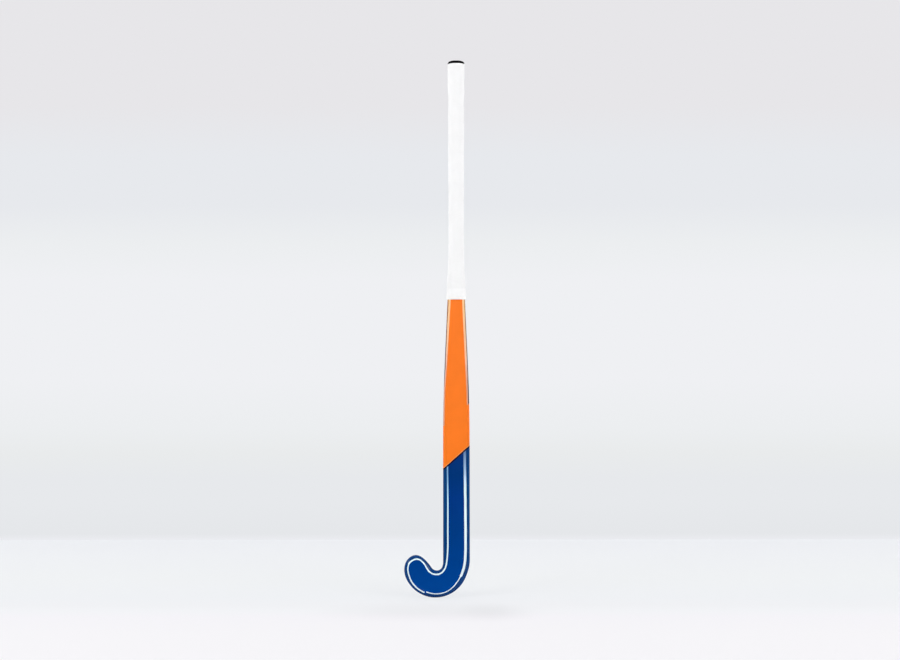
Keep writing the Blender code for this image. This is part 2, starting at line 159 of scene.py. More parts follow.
# (turn in degrees, inset, width)
OUTER_HOOK = (
    (0, 8.30, 4.5), (6, 8.65, 4.5), (15, 8.65, 4.5), (24.5, 8.75, 4.3), (28.5, 9.15, 1.9), (35, 9.00, 1.9),
    (40, 8.80, 1.8), (50, 8.00, 1.8), (60, 7.10, 1.8), (70, 6.48, 1.8), (80, 6.40, 1.9), (92, 6.58, 1.9),
    (100, 6.98, 1.9), (110.9, 7.30, 1.9), (111, 5.25, 2.65), (130, 5.36, 2.65), (145.6, 5.84, 2.65),
)
CROOK_HOOK = (
    (0, 6.78, 2.55), (5, 6.40, 2.55), (10, 6.02, 2.55), (17, 5.65, 2.6), (28, 5.48, 2.6), (40, 5.62, 2.6),
    (55, 6.00, 2.7), (70, 6.34, 2.8), (90, 6.48, 2.8), (110, 6.84, 2.7), (130, 7.06, 2.6),
    (145.6, 7.28, 2.6),
)
# (angle from the sole side in degrees, inset, width)
TOE_LINE = (
    (0, 5.84, 2.65), (10, 6.50, 2.65), (20, 7.06, 2.65), (32, 7.42, 2.65), (45, 7.25, 2.7),
    (60, 6.76, 2.7), (72, 6.47, 2.75), (80, 6.62, 2.75), (90, 7.02, 2.75), (98, 7.28, 2.75),
    (108, 7.08, 2.7), (120, 6.64, 2.75), (135, 6.42, 2.9), (150, 6.50, 3.0), (165, 6.98, 2.8),
    (180, 7.28, 2.6),
)
# The pin line is laid where the bevel's highlight falls, and stands partly for it: a painted highlight.
# (height in mm, insets of the pin line's outer and inner edge in mm)
OUTER_PIN = (
    (290, 1.6, 4.0), (338, 1.6, 4.2), (372, 1.5, 4.4), (400, 1.4, 4.6), (416, 1.4, 4.8), (459, 1.4, 4.9),
    (494, 1.5, 5.0), (511, 1.5, 4.9), (700, 1.5, 4.9),
)
CROOK_PIN = (
    (290, 0.1, 2.4), (355, 0.1, 2.4), (372, 0.8, 2.9), (385, 1.3, 3.4), (400, 1.4, 3.9), (416, 1.3, 4.1),
    (433, 1.5, 4.4), (459, 1.6, 4.8), (476, 1.6, 5.0), (494, 2.0, 5.2), (511, 2.0, 5.4), (700, 2.0, 5.4),
)
# The same in the hook, in mm, and the turn in degrees over which the insets reach it
HOOK_PIN = (1.4, 3.0)
HOOK_PIN_TURN = 30


@dataclass(frozen=True)
class Station:
    """A cut across the stick: its centre in the plan, the direction that leads away from the crook
    of the hook, and the sizes of the outline there."""

    x: float
    height: float
    out_x: float
    out_height: float
    half_width: float
    flat: float
    front: float
    back: float


def eased(start, end, value):
    """Rises smoothly from 0 to 1 as the value goes from start to end."""
    share = np.clip((value - start) / (end - start), 0.0, 1.0)
    return 0.5 - 0.5 * np.cos(math.pi * share)


def between(first, second, share):
    return first + (second - first) * share


def read_off(table, value, column=1):
    """The size in metres that a table in millimetres gives at a value of its first column."""
    return np.interp(value, [row[0] for row in table], [row[column] for row in table]) * MM


def level(height):
    """Millimetres from the foot to a height along the unbowed stick."""
    return (height - FOOT) / MM


def hook_station(turn):
    heel_turn = min(turn, HEEL_TURN)
    x = HEEL_RADIUS * (math.cos(heel_turn) - 1)
    height = BEND_HEIGHT - HEEL_RADIUS * math.sin(heel_turn)
    half_width = between(SHAFT_HALF_WIDTH, HEEL_HALF_WIDTH, eased(0, HEEL_TURN, turn))
    if turn > HEEL_TURN:
        x += HOOK_RADIUS * (math.cos(turn) - math.cos(HEEL_TURN))
        height -= HOOK_RADIUS * (math.sin(turn) - math.sin(HEEL_TURN))
        share = eased(HEEL_TURN, HEEL_TURN + HOOK_TURN, turn)
        half_width = between(HEEL_HALF_WIDTH, TOE_HALF_WIDTH, share)
    flat = half_width - BEVEL_WIDTH
    out_x, out_height = math.cos(turn), -math.sin(turn)
    return Station(x, height, out_x, out_height, half_width, flat, HEAD_FRONT, HEAD_BACK)


def shaft_station(height):
    """The cut at a height of the shaft or handle, or the cuts at an array of heights."""
    share = eased(TAPER_START, TAPER_END, height)
    flat_share = eased(TAPER_START, FLAT_END, height)
    return Station(
        x=0.0,
        height=height,
        out_x=1.0,
        out_height=0.0,
        half_width=between(SHAFT_HALF_WIDTH, HANDLE_HALF_WIDTH, share),
        flat=between(SHAFT_HALF_WIDTH - BEVEL_WIDTH, HANDLE_FLAT, flat_share),
        front=between(HEAD_FRONT, HANDLE_FRONT, share),
        back=between(HEAD_BACK, HANDLE_BACK, share),
    )


def toe_station(angle):
    """Half a cut from the toe's centre, turned from the sole side at 0 to the crook side at pi."""
    end = hook_station(HEEL_TURN + HOOK_TURN)
    along_x, along_height = end.out_height, -end.out_x
    power = 2 / TOE_FULLNESS
    across = math.copysign(end.half_width * abs(math.cos(angle)) ** power, math.cos(angle))
    across -= TOE_LEAN * math.sin(angle) ** 2
    along = TOE_REACH * math.sin(angle) ** power
    out_x = across * end.out_x + along * along_x
    out_height = across * end.out_height + along * along_height
    reach = math.hypot(out_x, out_height)
    return replace(
        end,
        out_x=out_x / reach,
        out_height=out_height / reach,
        half_width=reach,
        flat=reach - BEVEL_WIDTH,
    )


def sizes_within(station, inset):
    """Half width, flat, front and back of a cut's outline moved in by an inset."""
    width = station.half_width - inset
    flat = np.minimum(station.flat, width - INNER_CORNER)
    return width, flat, station.front - inset, station.back - inset


def section(station, shares, inset=0.0):
    """Places (out, depth) on half a cut, at shares of the way from the middle of the face, 0, over
    the widest line, 1, to the middle of the back, 2."""
    width, flat, front, back = sizes_within(station, inset)
    bevel = width - flat
    start = -flat / bevel
    path = start + (math.pi / 2 - start) * np.minimum(shares, 1.0)
    face_out = flat + bevel * np.where(path < 0, path, np.sin(np.maximum(path, 0.0)))
    face_depth = -front * np.cos(np.maximum(path, 0.0))
    angle = math.pi / 2 * np.clip(np.asarray(shares) - 1.0, 0.0, 1.0)
    power = 2 / BACK_FULLNESS
    back_out = width * np.abs(np.cos(angle)) ** power
    back_depth = back * np.sin(angle) ** power
    on_face = np.asarray(shares) <= 1.0
    out = np.where(on_face, face_out, np.where(np.asarray(shares) >= 2.0, 0.0, back_out))
    return out, np.where(on_face, face_depth, back_depth)


def share_at(station, inset):
    """The share of the way round half a cut at which its face lies an inset within the widest line."""
    width, flat, _, _ = sizes_within(station, 0.0)
    bevel = width - flat
    out = max(width - inset, 0.0)
    path = (out - flat) / bevel if out < flat else math.asin(min((out - flat) / bevel, 1.0))
    start = -flat / bevel
    return (path - start) / (math.pi / 2 - start)


def placed(x, height, depth):
    """Points in space of plan points at depths behind the widest line of the section."""
    below = BOW_TOP - height
    radius = BOW_LENGTH / BOW_ANGLE
    lean = np.clip(below / radius, 0.0, BOW_ANGLE)
    straight = np.maximum(below - BOW_LENGTH, 0.0) + np.minimum(below, 0.0)
    y = -radius * (1 - np.cos(lean)) - straight * np.sin(lean)
    z = BOW_TOP - radius * np.sin(lean) - straight * np.cos(lean)
    y = y + depth * np.cos(lean) + AXIS_Y
    z = z - depth * np.sin(lean) - FOOT
    x, y, z = np.broadcast_arrays(x + AXIS_X, y, z)
    return np.stack([x, y, z], axis=-1)


def half_points(station, shares, side=1, inset=0.0):
    """Points in space of half a cut, on the outer side for 1 or the crook side for -1."""
    out, depth = section(station, shares, inset)
    x = station.x + side * out * station.out_x
    return placed(x, station.height + side * out * station.out_height, depth)


def column_shares(station, inset, width, pin):
    """Shares of a half cut's columns of points, some of which follow the painted lines."""
    half_line = (width - LINE_TRIM) / 2
    outer_edge, inner_edge = pin
    keys = [
        0.0,
        share_at(station, inset + half_line),
        share_at(station, inset - half_line),
        share_at(station, inner_edge),
        share_at(station, outer_edge),
        *BACK_PIN,
        2.0,
    ]
    shares = [0.0]
    for low, high, count in zip(keys, keys[1:], COLUMNS):
        shares += [between(low, high, step / count) for step in range(1, count + 1)]
    return np.array(shares)


def column_kinds():
    """What each strip of a half cut shows, from the middle of the face to the middle of the back."""
    kinds = (BODY, LINE, EDGE, PIN, BAND, PIN, BODY)
    return [kind for kind, count in zip(kinds, COLUMNS) for _ in range(count)]


class Skin:
    """A surface under construction: rings of points, and strips of faces of some kind between."""

    def __init__(self):
        self.points = []
        self.faces = []
        self.kinds = []

    def ring(self, points):
        first = len(self.points)
        self.points.extend(np.asarray(points).tolist())
        return list(range(first, len(self.points)))

    def strip(self, first, second, kinds=None, closed=True):
        """Joins two rings of as many points. Where they share a point, the face is a triangle."""
        count = len(first)
        for here in range(count if closed else count - 1):
            after = (here + 1) % count
            corners = [first[here], first[after], second[after], second[here]]
            corners = list(dict.fromkeys(corners))
            if len(corners) > 2:
                self.faces.append(corners)
                self.kinds.append(kinds[here] if kinds else 0)

    def lid(self, ring):
        self.faces.append(list(ring))
        self.kinds.append(0)

    def into_bmesh(self, weld=0.0):
        """These faces, turned to face out, with their kinds as material numbers."""
        made = bmesh.new()
        corners = [made.verts.new(point) for point in self.points]
        for face, kind in zip(self.faces, self.kinds):
            new_face = made.faces.new([corners[corner] for corner in face])
            new_face.smooth = True
            new_face.material_index = kind
        if weld:
            bmesh.ops.remove_doubles(made, verts=made.verts, dist=weld)
        bmesh.ops.recalc_face_normals(made, faces=made.faces)
        return made


def closed_tube(rings, weld=0.0):
    """A skin through rings of points, with a lid at each end."""
    skin = Skin()
    made = [skin.ring(points) for points in rings]
    for first, second in zip(made, made[1:]):
        skin.strip(first, second)
    skin.lid(made[0])
    skin.lid(made[-1])
    return skin.into_bmesh(weld)


def in_scene(name, data):
    """A new object of some data, put in the scene."""
    made = bpy.data.objects.new(name, data)
    bpy.context.scene.collection.objects.link(made)
    return made


def as_object(name, made, materials):
    mesh = bpy.data.meshes.new(name)
    made.to_mesh(mesh)
    made.free()
    for material in materials:
        mesh.materials.append(material)
    mesh.set_sharp_from_angle(angle=SHARP_EDGE)
    return in_scene(name, mesh)


def shaft_columns(height):
    """Column shares of both sides of the shaft at a height."""
    station, here = shaft_station(height), level(height)
    sides = []
    for line, width, pin in (
        (OUTER_SHAFT, OUTER_LINE_WIDTH, OUTER_PIN),
        (CROOK_SHAFT, CROOK_LINE_WIDTH, CROOK_PIN),
    ):
        pin_edges = read_off(pin, here), read_off(pin, here, 2)
        sides.append(column_shares(station, read_off(line, here), width, pin_edges))
    return (station, *sides)


def hook_columns(turn):
    """Column shares of both sides of the hook at a turn. The insets of a pin line's edges, which
    isn't painted there, lead on from those at the foot of the shaft."""
    station = hook_station(turn)
    degrees = math.degrees(turn)
    share = min(degrees / HOOK_PIN_TURN, 1.0)
    sides = []
    for line, pin in ((OUTER_HOOK, OUTER_PIN), (CROOK_HOOK, CROOK_PIN)):
        pin_edges = [between(start, end, share) * MM for start, end in zip(pin[0][1:], HOOK_PIN)]
        inset, width = read_off(line, degrees), read_off(line, degrees, 2)
        sides.append(column_shares(station, inset, width, pin_edges))
    return (station, *sides)


def whole_ring(station, outer, crook, inset=0.0):
    first = half_points(station, outer, 1, inset)
    second = half_points(station, crook, -1, inset)
    return np.concatenate([first, second[-2:0:-1]])


def lay_shell(skin, inset=0.0, spacing=RING_SPACING, step=HOOK_STEP, kinds=None):
    """The surface of the stick below the rim, closed at the toe. Gives back its top ring."""
    kinds = kinds or column_kinds()
    round_kinds = kinds + kinds[::-1]
    count = math.ceil((RIM - BEND_HEIGHT) / spacing)
    cuts = [shaft_columns(between(RIM, BEND_HEIGHT, number / count)) for number in range(count + 1)]
    end = HEEL_TURN + HOOK_TURN
    hook_count = math.ceil(end / step)
    turns = [end * number / hook_count for number in range(1, hook_count + 1)]
    cuts += [hook_columns(turn) for turn in turns]
    turns = [0.0] * (count + 1) + turns
    made = [skin.ring(whole_ring(*cut, inset=inset)) for cut in cuts]
    unbroken = [BODY if kind == LINE else kind for kind in kinds] + kinds[::-1]
    for number in range(len(made) - 1):
        middle = math.degrees((turns[number] + turns[number + 1]) / 2)
        broken = SOLE_BREAK[0] < middle < SOLE_BREAK[1]
        skin.strip(made[number], made[number + 1], unbroken if broken else round_kinds)
    close_toe(skin, made[-1], inset, kinds)
    return made[0]


def close_toe(skin, last, inset, kinds):
    """A fan of half cuts that turns from the outer half of the hook's last ring to its crook half."""
    half = len(kinds) + 1
    fan = [last[:half]]
    count = round(math.pi / TOE_STEP)
    pin_edges = [edge * MM for edge in HOOK_PIN]
    for number in range(1, count):
        angle = math.pi * number / count
        degrees = math.degrees(angle)
        station = toe_station(angle)
        line, width = read_off(TOE_LINE, degrees), read_off(TOE_LINE, degrees, 2)
        points = half_points(station, column_shares(station, line, width, pin_edges), 1, inset)
        fan.append([last[0]] + skin.ring(points[1:-1]) + [last[half - 1]])
    fan.append([last[0]] + last[: half - 2 : -1])
    for first, second in zip(fan, fan[1:]):
        skin.strip(first, second, kinds, closed=False)


def colour_plane():
    """A point on the slanted plane between the two colours, and the plane's normal, up the stick."""
    slope = SHAFT_HALF_WIDTH * math.tan(COLOUR_LINE_SLOPE)
    centre = placed(0.0, COLOUR_LINE_HEIGHT, 0.0)
    edge = placed(SHAFT_HALF_WIDTH, COLOUR_LINE_HEIGHT + slope, 0.0)
    back = placed(0.0, COLOUR_LINE_HEIGHT, HEAD_BACK)
    normal = np.cross(edge - centre, back - centre)
    normal /= np.linalg.norm(normal)
    return centre, normal if normal[2] > 0 else -normal


# The shell's paints in the order of its material numbers, and the weights of their clear coat
SLOTS = (
    "blue", "blue_side_painted_shade", "orange", "wide_line", "thin_line", "border", "edging", "pin", "band", "laminate",
)
FACE_COAT = 0.3
SIDE_COAT = 0.15


def paint(made):
    """Cuts the shell along the slanted lines and gives each face its paint."""
    centre, normal = colour_plane()
    for offset in (-BORDER_WIDTH, 0.0, EDGING_WIDTH, BAND_END):
        everything = made.verts[:] + made.edges[:] + made.faces[:]
        bmesh.ops.bisect_plane(
            made, geom=everything, dist=CUT_REACH, plane_co=centre + normal * offset, plane_no=normal
        )
    for face in made.faces:
        middle = np.array(face.calc_center_median())
        face.material_index = paint_at(face.material_index, float(np.dot(middle - centre, normal)), middle)


def paint_at(kind, above, middle):
    """The material number of a face of some kind that lies a distance above the colour plane."""
    if kind == WALL:
        return SLOTS.index("laminate")
    if above < -BORDER_WIDTH:
        # Beyond the white lines the blue is the darker copy: painted shade on the sides.
        if kind != LINE:
            return SLOTS.index("blue" if kind == BODY else "blue_side_painted_shade")
        outer_line = middle[0] > AXIS_X or middle[2] < SOLE_TOP
        return SLOTS.index("wide_line" if outer_line else "thin_line")
    if above < 0:
        return SLOTS.index("border")
    if above < EDGING_WIDTH:
        return SLOTS.index("edging")
    if above > BAND_END and kind in (PIN, BAND):
        return SLOTS.index("pin" if kind == PIN else "band")
    return SLOTS.index("orange")


def round_shares():
    """Shares of the way round the handle, and the half-cut shares that they stand for, for half the
    way: from the middle of the face over the outer side to the middle of the back."""
    shares = np.linspace(0.0, 2.0, ROUND_SAMPLES)
    points = half_points(shaft_station(RIM), shares)
    lengths = np.concatenate([[0.0], np.cumsum(np.linalg.norm(np.diff(points, axis=0), axis=1))])
    return lengths / lengths[-1] / 2, shares


def points_round(place_round, height, outset):
    """Points on the handle at shares of the way round and at heights, standing off the shell."""
    way, shares = round_shares()
    place_round = np.mod(place_round, 1.0)
    side = np.where(place_round <= 0.5, 1.0, -1.0)
    share = np.interp(np.minimum(place_round, 1 - place_round), way, shares)
    out, depth = section(shaft_station(height), share, -outset)
    return placed(side * out, height, depth)


def pommel_thickness(height):
    return between(POMMEL_EDGE, POMMEL_THICKNESS, np.clip((height - POMMEL_BOTTOM) / POMMEL_TAPER, 0, 1))


def grip_inside(height):
    """How far the inside of the grip stands off the shell."""
    climb = np.clip(1 - (POMMEL_BOTTOM - height) / (WRAP_PITCH / 2), 0.0, 1.0)
    on_shell = CLEARANCE + climb * (POMMEL_EDGE + CLEARANCE)
    return np.where(height >= POMMEL_BOTTOM, 2 * CLEARANCE + pommel_thickness(height), on_shell)


def ribbon_thickness(height):
    return read_off(RIBBON, level(height))


def edge_profile(distance):
    """Thickness of the ribbon as a share of its full one, at a distance from its edge."""
    return between(THIN_EDGE, 1.0, eased(0.0, EDGE_TAPER, distance))


def lay_ribbon():
    """The unbroken ribbon: each turn's upper edge lies on the lower edge of the turn before."""
    half_ribbon = (WRAP_PITCH - WRAP_GAP) / 2
    start = RIM - RIBBON_END + half_ribbon
    turns = (start + half_ribbon - GRIP_BOTTOM - RIBBON_END) / WRAP_PITCH
    turn = np.arange(0.0, turns, 1 / STEPS_PER_TURN)[:, None]
    centre = start - WRAP_PITCH * turn
    low, high = centre - WRAP_PITCH / 2 - OVERLAP, centre + WRAP_PITCH / 2
    edge = np.array(EDGE_ROWS) * MM
    up = np.concatenate([edge, np.array(MIDDLE_ROWS) * MM, WRAP_PITCH + OVERLAP - edge[::-1]])
    outer_height = np.clip(low + up, GRIP_BOTTOM, GRIP_TOP)
    inner_height = outer_height[:, ::-1]

    def lift(height):
        """How far the turn before raises this one."""
        over = height - (high - OVERLAP)
        raised = eased(-BRIDGE, 0.0, over) * edge_profile(np.maximum(over, 0.0))
        return raised * ribbon_thickness(height) * (turn > FIRST_LAP)

    def thickness(height):
        edges = np.minimum(edge_profile(height - low), edge_profile(high - height))
        return edges * ribbon_thickness(height) - LAYER_GAP

    inside = grip_inside(inner_height) + lift(inner_height) + LAYER_GAP
    outside = grip_inside(outer_height) + lift(outer_height) + LAYER_GAP + thickness(outer_height)
    heights = np.concatenate([outer_height, inner_height], axis=1)
    outsets = np.concatenate([outside, inside], axis=1)
    return closed_tube(points_round(WRAP_START + turn, heights, outsets), WELD)


def lay_finishing_tape():
    """One layer of tape and a lap over its start. Its lower edge is pressed down on to the shell."""
    lap = np.arange(0.0, LAP, 1 / ROUND_STEPS)[:, None]
    levels = np.append(np.array(TAPE_ROWS) * MM, TAPE_WIDTH)
    pressed = eased(PRESSED_FROM, PRESSED_TO, levels)
    height = GRIP_BOTTOM + levels + 0 * lap
    on_grip = grip_inside(height) + ribbon_thickness(height) + TAPE_LIFT
    inside = between(on_grip, PRESSED_LIFT, pressed) + (TAPE_LAYER + LAYER_GAP) * lap
    heights = np.concatenate([height, height[:, ::-1]], axis=1)
    outsets = np.concatenate([inside + TAPE_LAYER, inside[:, ::-1]], axis=1)
    return closed_tube(points_round(TAPE_START + lap, heights, outsets))


def lay_cap():
    """A disc with a broad rounded shoulder over the end of the handle, a thin lip and a stem."""
    places = np.arange(ROUND_STEPS) / ROUND_STEPS
    rows = [
        (CAP_BOTTOM - STEM_LENGTH, STEM_HALF_WIDTH - HANDLE_HALF_WIDTH),
        (CAP_BOTTOM, STEM_HALF_WIDTH - HANDLE_HALF_WIDTH),
        (CAP_BOTTOM, SKIRT_INSIDE),
        (CAP_BOTTOM - SKIRT, SKIRT_INSIDE),
        (CAP_BOTTOM - SKIRT, CAP_OVERHANG),
    ]
    for step in range(SHOULDER_STEPS + 1):
        angle = math.pi / 2 * step / SHOULDER_STEPS
        outset = CAP_OVERHANG - SHOULDER_WIDTH * (1 - math.cos(angle))
        rows.append((TOP - SHOULDER_HEIGHT * (1 - math.sin(angle)), outset))
    return closed_tube([points_round(places, height, outset) for height, outset in rows])


def linear(colour):
    """Linear channels of a colour written as #rrggbb."""
    channels = [int(colour[start : start + 2], 16) / 255 for start in (1, 3, 5)]
    return [c / 12.92 if c <= 0.04045 else ((c + 0.055) / 1.055) ** 2.4 for c in channels]


class Paint:
    """A material under construction: its node tree and its main shader."""

    def __init__(self, name, **settings):
        self.material = bpy.data.materials.new(name)
        self.material.use_nodes = True
        self.tree = self.material.node_tree
        self.shader = self.tree.nodes["Principled BSDF"]
        for socket, value in settings.items():
            self.shader.inputs[socket.replace("_", " ")].default_value = value

    def node(self, kind, links=None, **settings):
        """A node with settings of its own, and inputs as (socket: value or output) pairs."""
        made = self.tree.nodes.new("ShaderNode" + kind)
        for name, value in settings.items():
            setattr(made, name, value)
        for socket, value in (links or {}).items():
            if isinstance(value, bpy.types.NodeSocket):
                self.tree.links.new(value, made.inputs[socket])
            else:
                made.inputs[socket].default_value = value
        return made

    def place(self):
        return self.node("TexCoord").outputs["Object"]

    def height(self):
        return self.node("SeparateXYZ", {0: self.place()}).outputs["Z"]

    def maths(self, operation, first, second):
        return self.node("Math", {0: first, 1: second}, operation=operation).outputs[0]

    def ramp(self, factor, stops):
        """A colour for each value of a factor, from (value, #rrggbb) stops."""
        low, high = stops[0][0], stops[-1][0]
        share = self.node("MapRange", {"Value": factor, "From Min": low, "From Max": high}).outputs[0]
        made = self.node("ValToRGB", {0: share})
        elements = made.color_ramp.elements
        while len(elements) < len(stops):
            elements.new(0.5)
        for element, (value, colour) in zip(elements, stops):
            element.position = (value - low) / (high - low)
        for element, (value, colour) in zip(elements, stops):
            element.color = (*linear(colour), 1.0)
        return made.outputs[0]

    def noise(self, scale, detail=2.0, stretch=(1, 1, 1)):
        mapped = self.node("Mapping", {"Vector": self.place(), "Scale": stretch}).outputs[0]
        return self.node("TexNoise", {"Vector": mapped, "Scale": scale, "Detail": detail}).outputs[0]

    def cells(self, scale):
        return self.node("TexVoronoi", {"Vector": self.place(), "Scale": scale}).outputs["Distance"]

    def bands(self, scale, direction, distortion=0.0):
        inputs = {"Vector": self.place(), "Scale": scale, "Distortion": distortion}
        made = self.node("TexWave", inputs, wave_type="BANDS", bands_direction=direction)
        return made.outputs["Fac"]

    def mixed(self, factor, first, second, blend="MIX"):
        made = self.node("Mix", data_type="RGBA", blend_type=blend)
        for socket, value in ((0, factor), (6, first), (7, second)):
            if isinstance(value, bpy.types.NodeSocket):
                self.tree.links.new(value, made.inputs[socket])
            elif socket == 0:
                made.inputs[socket].default_value = value
            else:
                made.inputs[socket].default_value = (*linear(value), 1.0)
        return made.outputs[2]

    def mottled(self, colour, scale, dark):
        """A colour made a little uneven, multiplied by a shade between a dark one and white."""
        shade = self.ramp(self.noise(scale, 3.0), ((0.3, dark), (0.7, "#ffffff")))
        return self.mixed(1.0, colour, shade, "MULTIPLY")

    def coloured(self, colour):
        self.tree.links.new(colour, self.shader.inputs["Base Color"])
        return self

    def bumped(self, height, strength, distance):
        bump = self.node("Bump", {"Height": height, "Strength": strength, "Distance": distance})
        self.tree.links.new(bump.outputs[0], self.shader.inputs["Normal"])
        return self

    def rough(self, factor, low, high):
        """Roughness between two values, with a factor that mostly lies between 0.3 and 0.7."""
        made = self.node("MapRange", {"Value": factor, "From Min": 0.3, "From Max": 0.7})
        made.inputs["To Min"].default_value = low
        made.inputs["To Max"].default_value = high
        self.tree.links.new(made.outputs[0], self.shader.inputs["Roughness"])
        return self


def lacquer(name, stops, coat=FACE_COAT):
    """Paint under a clear gloss coat, its colour given along the height of the stick. Some stops carry
    painted shading and highlights.
    """
    made = Paint(name, Coat_Weight=coat, Coat_Roughness=0.05, Specular_IOR_Level=0.0)
    colour = made.ramp(made.height(), stops)
    made.coloured(made.mottled(colour, 45.0, "#fafafa"))
    made.rough(made.noise(160.0, 3.0), 0.34, 0.46)
    made.bumped(made.noise(420.0, 2.0), 0.10, 0.00006)
    return made.material


def shell_materials():
    """The shell's paints in the order of SLOTS. Stops are (height in metres, colour)."""
    # The face's blue is painted lighter towards the head and darker towards the colour line: painted
    # shading for the light on the face.
    blue = (
        (0.02, "#024494"), (0.06, "#013f8c"), (0.12, "#033a82"), (0.17, "#053783"), (0.21, "#033577"),
        (0.25, "#0b3378"),
    )
    # The blue beyond the white lines, over the bevels, sides and part of the back, is a duller, darker
    # copy of the face's blue: painted shade.
    blue_side_painted_shade = (
        (0.02, "#073d7c"), (0.06, "#083c77"), (0.12, "#093d76"), (0.17, "#0a4078"), (0.25, "#0b3c75"),
    )
    orange = ((0.20, "#fd7e26"), (0.36, "#fd7e2b"), (0.52, "#fe7f2f"))
    # The white lines are print. Their colour is also painted brightest at the foot and fading to grey-blue
    # towards the colour line: a painted highlight along the bevel.
    wide = (
        (0.03, "#eaf9ff"), (0.185, "#e4fbff"), (0.203, "#cce6fd"), (0.211, "#b0cae6"), (0.222, "#98b6d8"),
        (0.237, "#85a0c4"), (0.25, "#6484b2"),
    )
    thin = (
        (0.03, "#e8faff"), (0.09, "#e2fbff"), (0.14, "#d4f4ff"), (0.168, "#c0ebfd"), (0.186, "#a2d3f0"),
        (0.20, "#8bbde2"), (0.23, "#6f9bcb"),
    )
    # The cream pin lies where the orange's bevel shows a highlight: a cream line that is partly a painted
    # highlight, brightest near the grip and duller and pinker lower down.
    pin = ((0.29, "#dc9c7e"), (0.36, "#dfa389"), (0.40, "#f0bfa9"), (0.43, "#fdc9a2"), (0.515, "#ffd29a"))
    # The navy band on the sides is print. Its colour is painted to turn brown near the grip, where it
    # stands for the orange's rim in shade: painted shade.
    band = (
        (0.25, "#141c38"), (0.37, "#1c2440"), (0.40, "#3a3048"), (0.43, "#5c4048"), (0.46, "#7d5244"),
        (0.49, "#a0683f"), (0.515, "#b87845"),
    )
    made = {
        "blue": lacquer("blue_lacquer_and_painted_shading", blue),
        "blue_side_painted_shade": lacquer("blue_side_painted_shade_lacquer", blue_side_painted_shade),
        "orange": lacquer("orange_lacquer", orange),
        "wide_line": lacquer("wide_line_and_painted_highlight_lacquer", wide),
        "thin_line": lacquer("thin_line_and_painted_highlight_lacquer", thin),
        "border": lacquer("dark_border_lacquer", ((0.20, "#0d0b1e"), (0.28, "#120d1c"))),
        "edging": lacquer("pale_edging_lacquer", ((0.20, "#ffa870"), (0.30, "#ffb184"))),
        "pin": lacquer("cream_pin_and_painted_highlight_lacquer", pin, SIDE_COAT),
        "band": lacquer("navy_band_and_painted_shade_lacquer", band, SIDE_COAT),
        "laminate": laminate_material("bare_laminate"),
    }
    return [made[slot] for slot in SLOTS]


def laminate_material(name):
    """Dark woven fibre in resin, a twill of about 2 mm."""
    made = Paint(name, Coat_Weight=0.4, Coat_Roughness=0.2, Specular_IOR_Level=0.5)
    weave = made.maths("MULTIPLY", made.bands(150.0, "DIAGONAL", 0.6), made.bands(150.0, "Z", 0.6))
    made.coloured(made.ramp(weave, ((0.0, "#1d1e20"), (0.5, "#2c2d30"), (1.0, "#3c3e42"))))
    made.rough(made.noise(200.0), 0.35, 0.5)
    return made.bumped(weave, 0.3, 0.0002).material


def ribbon_material():
    """White cushioned polyurethane with a fine leather-like grain."""
    made = Paint("grip_polyurethane", Sheen_Weight=0.06, Sheen_Roughness=0.5, Specular_IOR_Level=0.3)
    made.coloured(made.mottled(made.mixed(made.noise(9.0, 2.0), "#f4f4f5", "#f5f5f6"), 260.0, "#fdfdfd"))
    made.rough(made.noise(320.0, 3.0), 0.5, 0.66)
    grain = made.maths("ADD", made.cells(900.0), made.noise(500.0, 3.0))
    return made.bumped(grain, 0.04, 0.0001).material


def tape_material():
    made = Paint("finishing_vinyl", Specular_IOR_Level=0.5)
    made.coloured(made.mottled(made.mixed(made.noise(20.0), "#fcfcfd", "#f9f9fa"), 200.0, "#fafafa"))
    made.rough(made.noise(240.0, 2.0), 0.3, 0.42)
    return made.bumped(made.noise(180.0, 3.0, (1, 1, 0.25)), 0.12, 0.0002).material


def cap_material():
    made = Paint("cap_rubber", Specular_IOR_Level=0.08)
    made.coloured(made.ramp(made.noise(300.0, 4.0), ((0.3, "#08080a"), (0.7, "#101012"))))
    made.rough(made.noise(500.0, 3.0), 0.7, 0.85)
    return made.bumped(made.noise(1400.0, 3.0), 0.2, 0.0001).material


def foam_material():
    made = Paint("core_foam", Specular_IOR_Level=0.2)
    cells = made.cells(700.0)
    made.coloured(made.ramp(cells, ((0.0, "#b59f6a"), (0.35, "#d9c79a"), (0.8, "#e8dab4"))))
    made.rough(cells, 0.8, 0.95)
    return made.bumped(cells, 0.5, 0.0004).material


def plastic_material():
    made = Paint("plug_plastic", Specular_IOR_Level=0.45)
    made.coloured(made.ramp(made.noise(120.0, 3.0), ((0.3, "#848688"), (0.7, "#8f9193"))))
    made.rough(made.noise(260.0), 0.42, 0.55)
    return made.bumped(made.noise(900.0), 0.2, 0.0001).material


def cloth_material():
    made = Paint("band_cloth", Sheen_Weight=0.3, Sheen_Roughness=0.6, Specular_IOR_Level=0.2)
    weave = made.maths("MAXIMUM", made.bands(260.0, "Z"), made.bands(260.0, "X"))
    made.coloured(made.ramp(weave, ((0.0, "#a8a396"), (1.0, "#cdc8bc"))))
    made.rough(weave, 0.75, 0.9)
    return made.bumped(weave, 0.4, 0.0002).material


